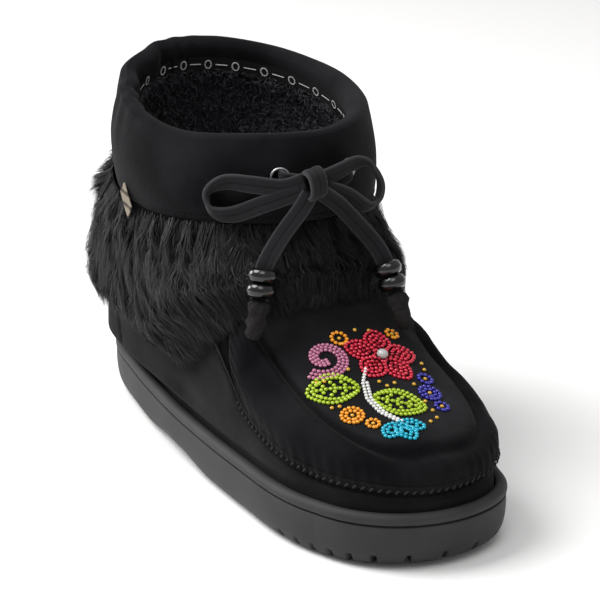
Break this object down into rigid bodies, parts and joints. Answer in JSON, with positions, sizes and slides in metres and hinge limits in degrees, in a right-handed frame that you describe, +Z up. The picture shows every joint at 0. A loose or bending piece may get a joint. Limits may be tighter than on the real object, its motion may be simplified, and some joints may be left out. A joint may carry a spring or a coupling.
{
  "type": "mukluk boot",
  "caption": "Short lined mukluk boot for the right foot: rubber cup sole, moccasin-toe suede upper, fur band round the ankle, padded collar and a beaded lace tied in a bow.",
  "frame": {"origin": "middle of the footprint's bounding box, on the floor", "axes": "+X towards the toe, +Y towards the wearer's inner side, +Z up"},
  "size_m": [0.284, 0.1154, 0.1646],
  "materials": {
    "rubber": "matt moulded dark grey rubber",
    "footbed": "short black pile",
    "upper": "black suede",
    "collar": "black suede, padded",
    "fur": "long black fur",
    "lace": "flat black suede lace",
    "bead": "glossy black",
    "metal": "bright metal",
    "label": "woven, beige"
  },
  "bodies": {
    "root": {"outsole": "rubber", "insole": "footbed", "upper": "upper", "fur_band": "fur", "collar": "collar", "eyelet_lateral": "metal", "eyelet_medial": "metal", "lace_bar": "lace", "lace_knot": "lace", "lace_loop_lateral": "lace", "lace_loop_medial": "lace", "lace_end_lateral": "lace", "lace_end_medial": "lace", "bead_lateral_1": "bead", "bead_lateral_2": "bead", "bead_medial_1": "bead", "bead_medial_2": "bead", "tip_lateral": "lace", "tip_medial": "lace", "side_label": "label"}
  },
  "joints": []
}
